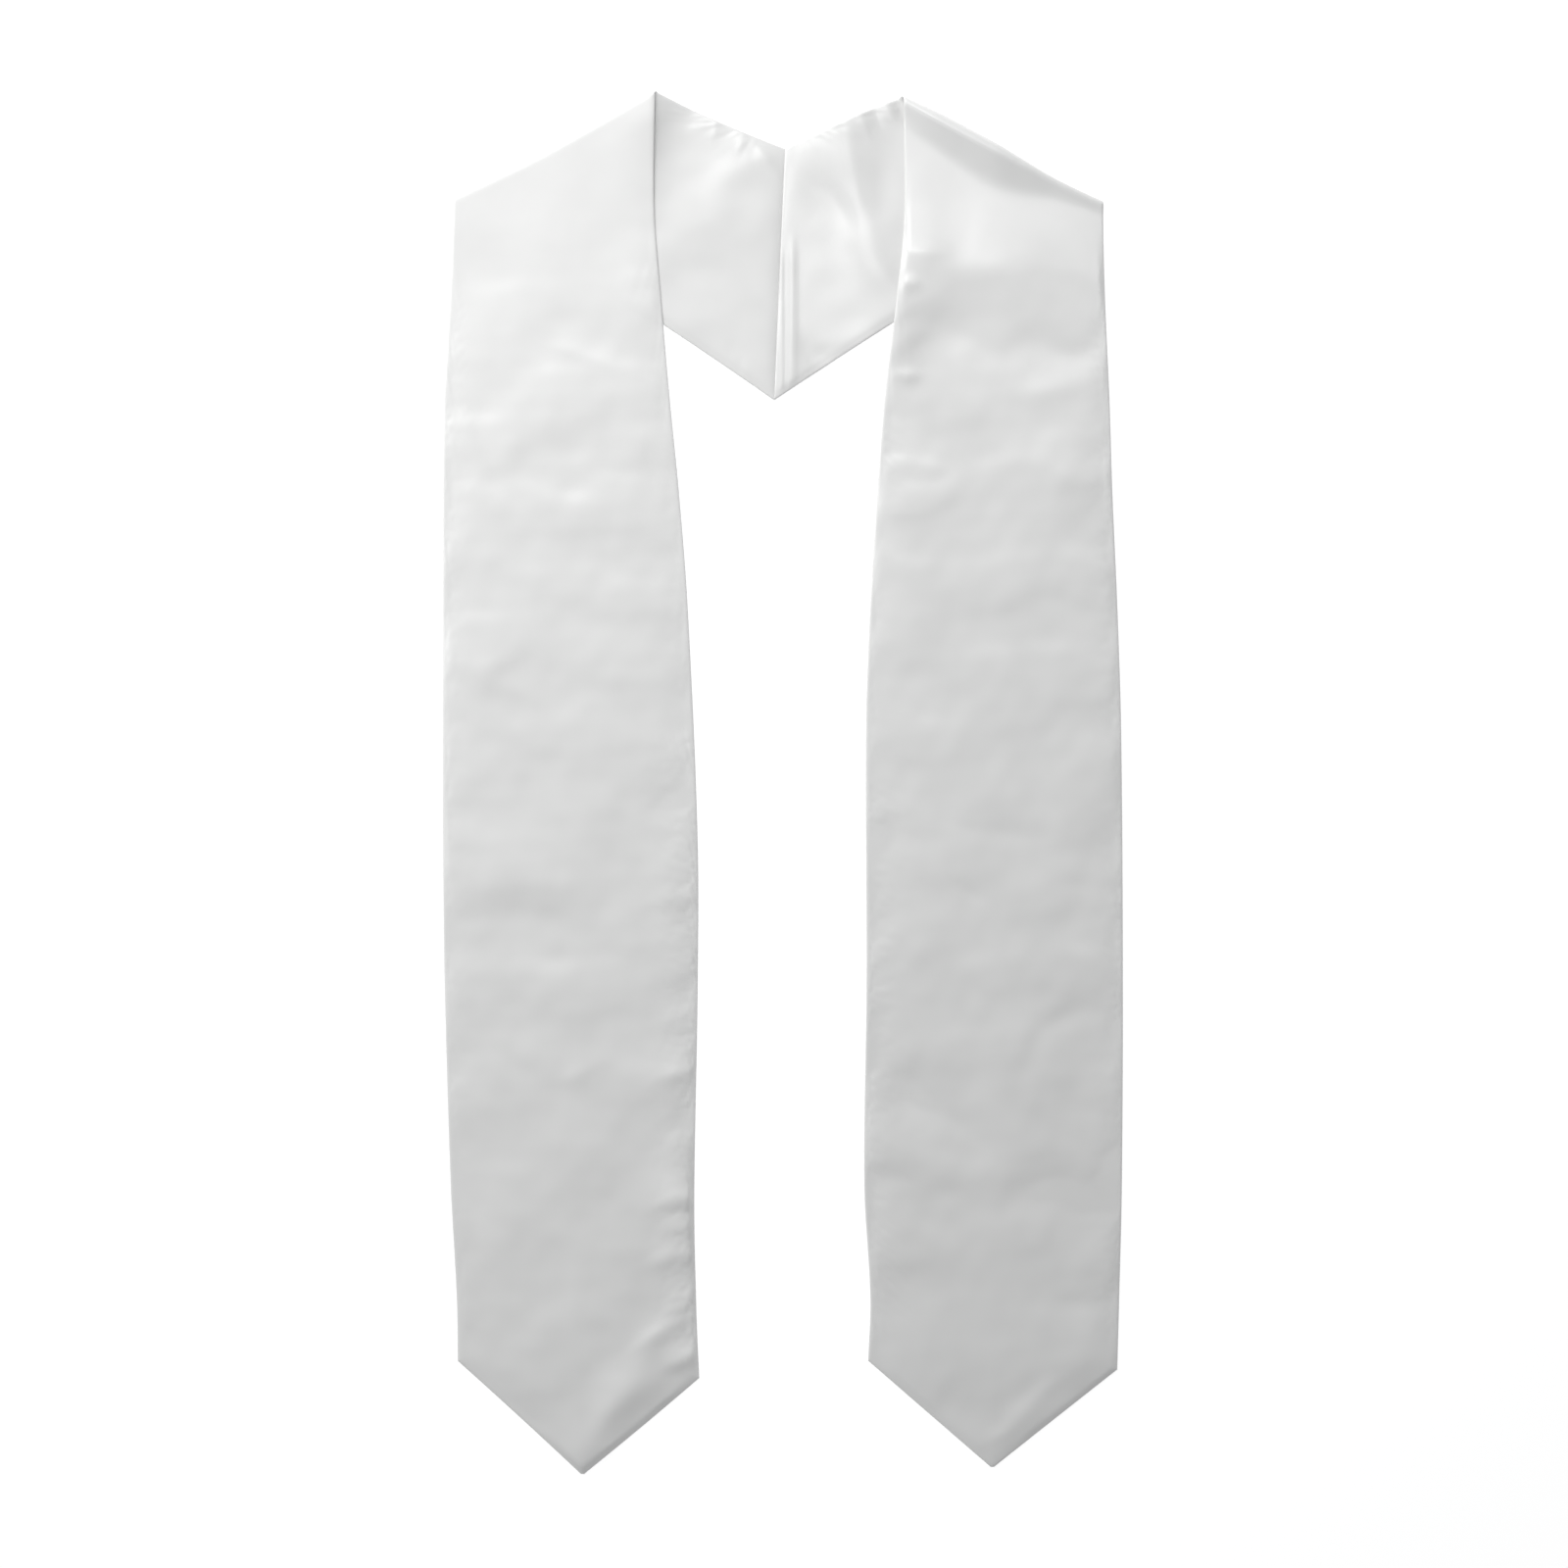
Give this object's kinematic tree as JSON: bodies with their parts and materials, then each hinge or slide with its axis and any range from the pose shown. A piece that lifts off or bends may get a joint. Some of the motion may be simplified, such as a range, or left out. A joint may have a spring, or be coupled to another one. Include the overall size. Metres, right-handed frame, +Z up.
{
  "type": "graduation stole",
  "caption": "White satin graduation stole laid out flat, seamed in a V behind the neck, folded forward at both shoulders, with long pointed front panels.",
  "frame": {"origin": "middle of the stole's outline, on the surface that it lies on", "axes": "+X from the panel named left to the panel named right, +Y along the panels towards the neck, +Z up off the surface"},
  "size_m": [0.3924, 0.7972, 0.0097],
  "materials": {
    "face_satin": "satin",
    "lining_satin": "satin"
  },
  "bodies": {
    "root": {"left_face": "face_satin", "left_lining": "lining_satin", "right_face": "face_satin", "right_lining": "lining_satin"}
  },
  "joints": []
}
